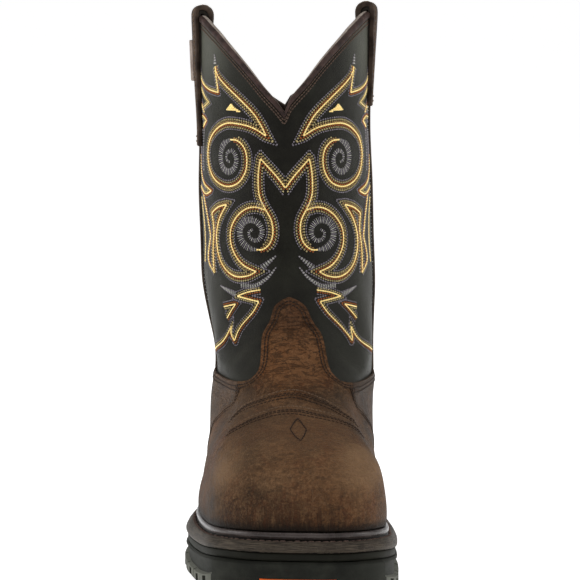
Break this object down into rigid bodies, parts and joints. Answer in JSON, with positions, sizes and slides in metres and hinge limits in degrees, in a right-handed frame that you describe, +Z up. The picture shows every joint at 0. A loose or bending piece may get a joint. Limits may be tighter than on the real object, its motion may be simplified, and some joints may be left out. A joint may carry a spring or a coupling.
{
  "type": "western work boot",
  "caption": "Right-foot pull-on western work boot with a deep V collar, scroll-stitched black shaft, brown oiled foot, pull straps and a lugged rubber sole.",
  "frame": {"origin": "on the floor, under the middle of the boot's bounding box", "axes": "+Z up from the floor, -Y towards the toe, +X towards the medial (big toe) side of this right boot"},
  "size_m": [0.1206, 0.3084, 0.3133],
  "materials": {
    "black_leather": "smooth black leather with a soft sheen and coloured scroll stitching",
    "brown_leather": "brown oiled pull-up leather, distressed, semi-matt",
    "counter_leather": "brown oiled leather, semi-matt",
    "strap_leather": "dark brown leather, light edge stitching",
    "binding_leather": "brown leather binding, worn lighter on the fold",
    "lining_leather": "reddish brown unfinished lining leather",
    "welt_leather": "dark brown waxed leather with a raised bead and lockstitch",
    "midsole_rubber": "dense black rubber, matt",
    "black_rubber": "moulded black-green rubber, matt",
    "orange_rubber": "orange rubber, matt"
  },
  "bodies": {
    "root": {"outsole": "black_rubber", "toe_insert": "orange_rubber", "midsole": "midsole_rubber", "welt": "welt_leather", "insole": "lining_leather", "upper": "black_leather", "vamp": "brown_leather", "counter": "counter_leather", "piping_medial": "binding_leather", "piping_lateral": "binding_leather", "collar_binding": "binding_leather", "strap_medial": "strap_leather", "strap_lateral": "strap_leather", "strap_tab": "strap_leather"}
  },
  "joints": []
}
